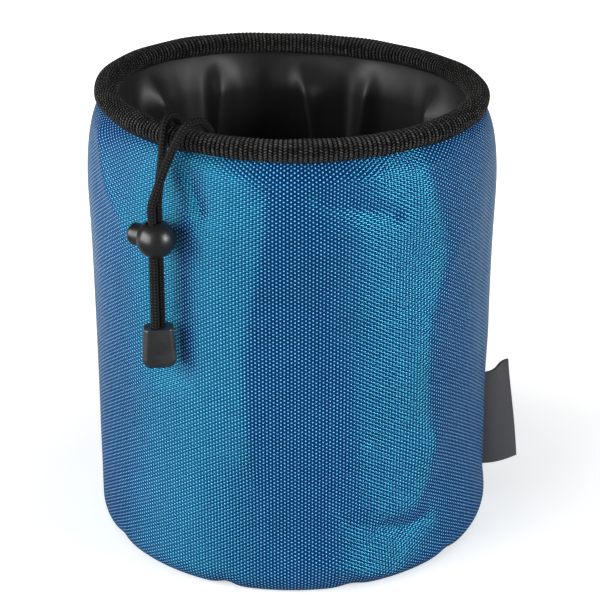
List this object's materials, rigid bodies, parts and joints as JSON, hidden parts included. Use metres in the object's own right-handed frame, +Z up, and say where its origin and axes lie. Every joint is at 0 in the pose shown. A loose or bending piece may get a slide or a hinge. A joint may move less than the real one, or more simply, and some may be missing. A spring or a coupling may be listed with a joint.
{
  "type": "peg bag",
  "caption": "Round blue woven bag for clothes pegs with a black bound rim, an inner drawstring collar, a ball cord lock and a side label.",
  "frame": {"origin": "centre of the underside of the base, on the floor", "axes": "+Z up through the mouth, -Y out of the pictured front, +X to the side with the label"},
  "size_m": [0.176, 0.16, 0.1872],
  "materials": {
    "blue_fabric": "coarse plain weave, slight sheen",
    "black_fabric": "thin coated nylon",
    "rim_tape": "knitted tape",
    "label_fabric": "woven ribbon",
    "cord": "braided",
    "filler": "foam rod",
    "board": "sheet",
    "lock_plastic": "gloss",
    "end_plastic": "satin",
    "spring_steel": "drawn wire"
  },
  "bodies": {
    "bag": {"wall_panel": "blue_fabric", "base_panel": "blue_fabric", "base_board": "board", "base_lining": "black_fabric", "rim_binding": "rim_tape", "rim_filler": "filler", "closing_collar": "black_fabric", "drawstring_in_hem": "cord", "drawstring_left_strand": "cord", "drawstring_right_strand": "cord", "cord_end_front": "end_plastic", "cord_end_back": "end_plastic", "side_label": "label_fabric"},
    "cord_lock": {"cord_lock_body": "lock_plastic", "cord_lock_spring": "spring_steel"},
    "lock_button": {"cord_lock_button": "lock_plastic"}
  },
  "joints": [
    {"name": "cord_lock_slide", "type": "slide", "parent": "bag", "child": "cord_lock", "axis": [0, 0, 1], "range_m": [-0.027, 0.005]},
    {"name": "button_press", "type": "slide", "parent": "cord_lock", "child": "lock_button", "axis": [0.8111, -0.585, 0], "range_m": [0, 0.0018], "stiffness_N_per_m": 1500, "springref_m": -0.002, "deforming": ["cord_lock_spring"]}
  ]
}
